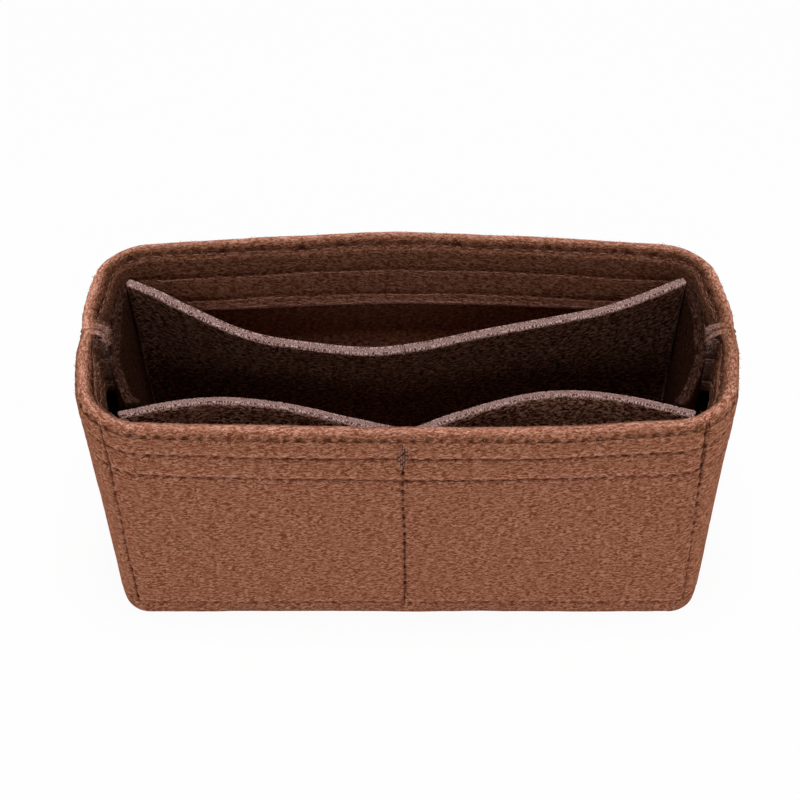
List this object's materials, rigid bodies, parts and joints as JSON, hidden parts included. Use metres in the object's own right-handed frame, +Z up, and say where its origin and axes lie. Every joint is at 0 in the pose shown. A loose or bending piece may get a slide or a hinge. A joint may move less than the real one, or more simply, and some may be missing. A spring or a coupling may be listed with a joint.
{
  "type": "purse organizer insert",
  "caption": "Soft felt organizer that stands inside a handbag: open main space, leaning back pocket, front pockets and slim end pockets, with a folded and stitched rim.",
  "frame": {"origin": "centre of the footprint, on the surface the insert stands on", "axes": "+X along the length to the right seen from the front, +Y towards the back wall, +Z up out of the open top"},
  "size_m": [0.1744, 0.0808, 0.0805],
  "materials": {
    "outer_felt": "matte needled wool-blend felt, warm brown, with short loose fibres",
    "inner_felt": "the same matte brown felt, with raw cut edges"
  },
  "bodies": {
    "root": {"front_wrap": "outer_felt", "back_wrap": "outer_felt", "base_panel": "inner_felt", "back_pocket_panel": "inner_felt", "front_pocket_panel": "inner_felt", "left_pocket_panel": "inner_felt", "right_pocket_panel": "inner_felt"}
  },
  "joints": []
}
